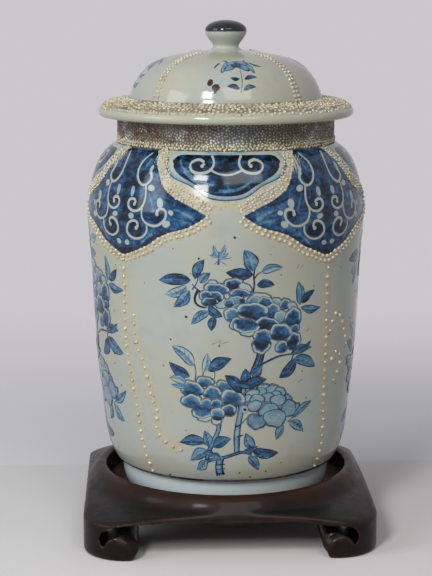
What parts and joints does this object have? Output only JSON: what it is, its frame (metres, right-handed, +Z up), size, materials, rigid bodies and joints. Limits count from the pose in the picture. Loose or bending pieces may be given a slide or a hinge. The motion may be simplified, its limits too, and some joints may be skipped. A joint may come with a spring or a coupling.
{
  "type": "jar",
  "caption": "Covered porcelain jar with a domed, knobbed lid, painted cobalt panels and raised slip beads, on a low hardwood stand with scroll feet.",
  "frame": {"origin": "on the ground under the centre of the stand", "axes": "+Z up along the jar's axis, -Y towards the side the picture shows"},
  "size_m": [0.226, 0.226, 0.3999],
  "materials": {
    "jar_glaze": "glossy pale celadon glaze over cobalt brushwork, with iron specks",
    "neck_glaze": "finely beaded glaze, stained grey-brown and rust",
    "lid_glaze": "glossy pale celadon glaze, worn tan on the flange",
    "knob_glaze": "glossy glaze, navy on top fading to celadon",
    "bare_porcelain": "unglazed fired body, slightly rough",
    "slip_beads": "cream slip under thin gloss",
    "cobalt_painting": "cobalt washes and lines under glossy glaze",
    "stand_hardwood": "dark stained hardwood, semi-gloss, reddish where worn",
    "seat_board_wood": "dark stained board, satin",
    "bamboo_pins": "plain bamboo"
  },
  "bodies": {
    "stand": {"stand_top": "stand_hardwood", "stand_seat_board": "seat_board_wood", "stand_seat_pins": "bamboo_pins", "stand_leg_front_left": "stand_hardwood", "stand_leg_front_right": "stand_hardwood", "stand_leg_back_left": "stand_hardwood", "stand_leg_back_right": "stand_hardwood"},
    "jar": {"jar_lower_body": "jar_glaze", "jar_upper_body": "jar_glaze", "jar_neck": "neck_glaze", "jar_slip_beads": "slip_beads"},
    "lid": {"lid_dome": "lid_glaze", "lid_locating_ring": "bare_porcelain", "lid_knob": "knob_glaze", "lid_slip_beads": "slip_beads"}
  },
  "joints": [
    {"name": "jar_lift", "type": "slide", "parent": "stand", "child": "jar", "axis": [0, 0, 1], "range_m": [0, 0.06]},
    {"name": "lid_lift", "type": "slide", "parent": "jar", "child": "lid", "axis": [0, 0, 1], "range_m": [0, 0.12]}
  ]
}
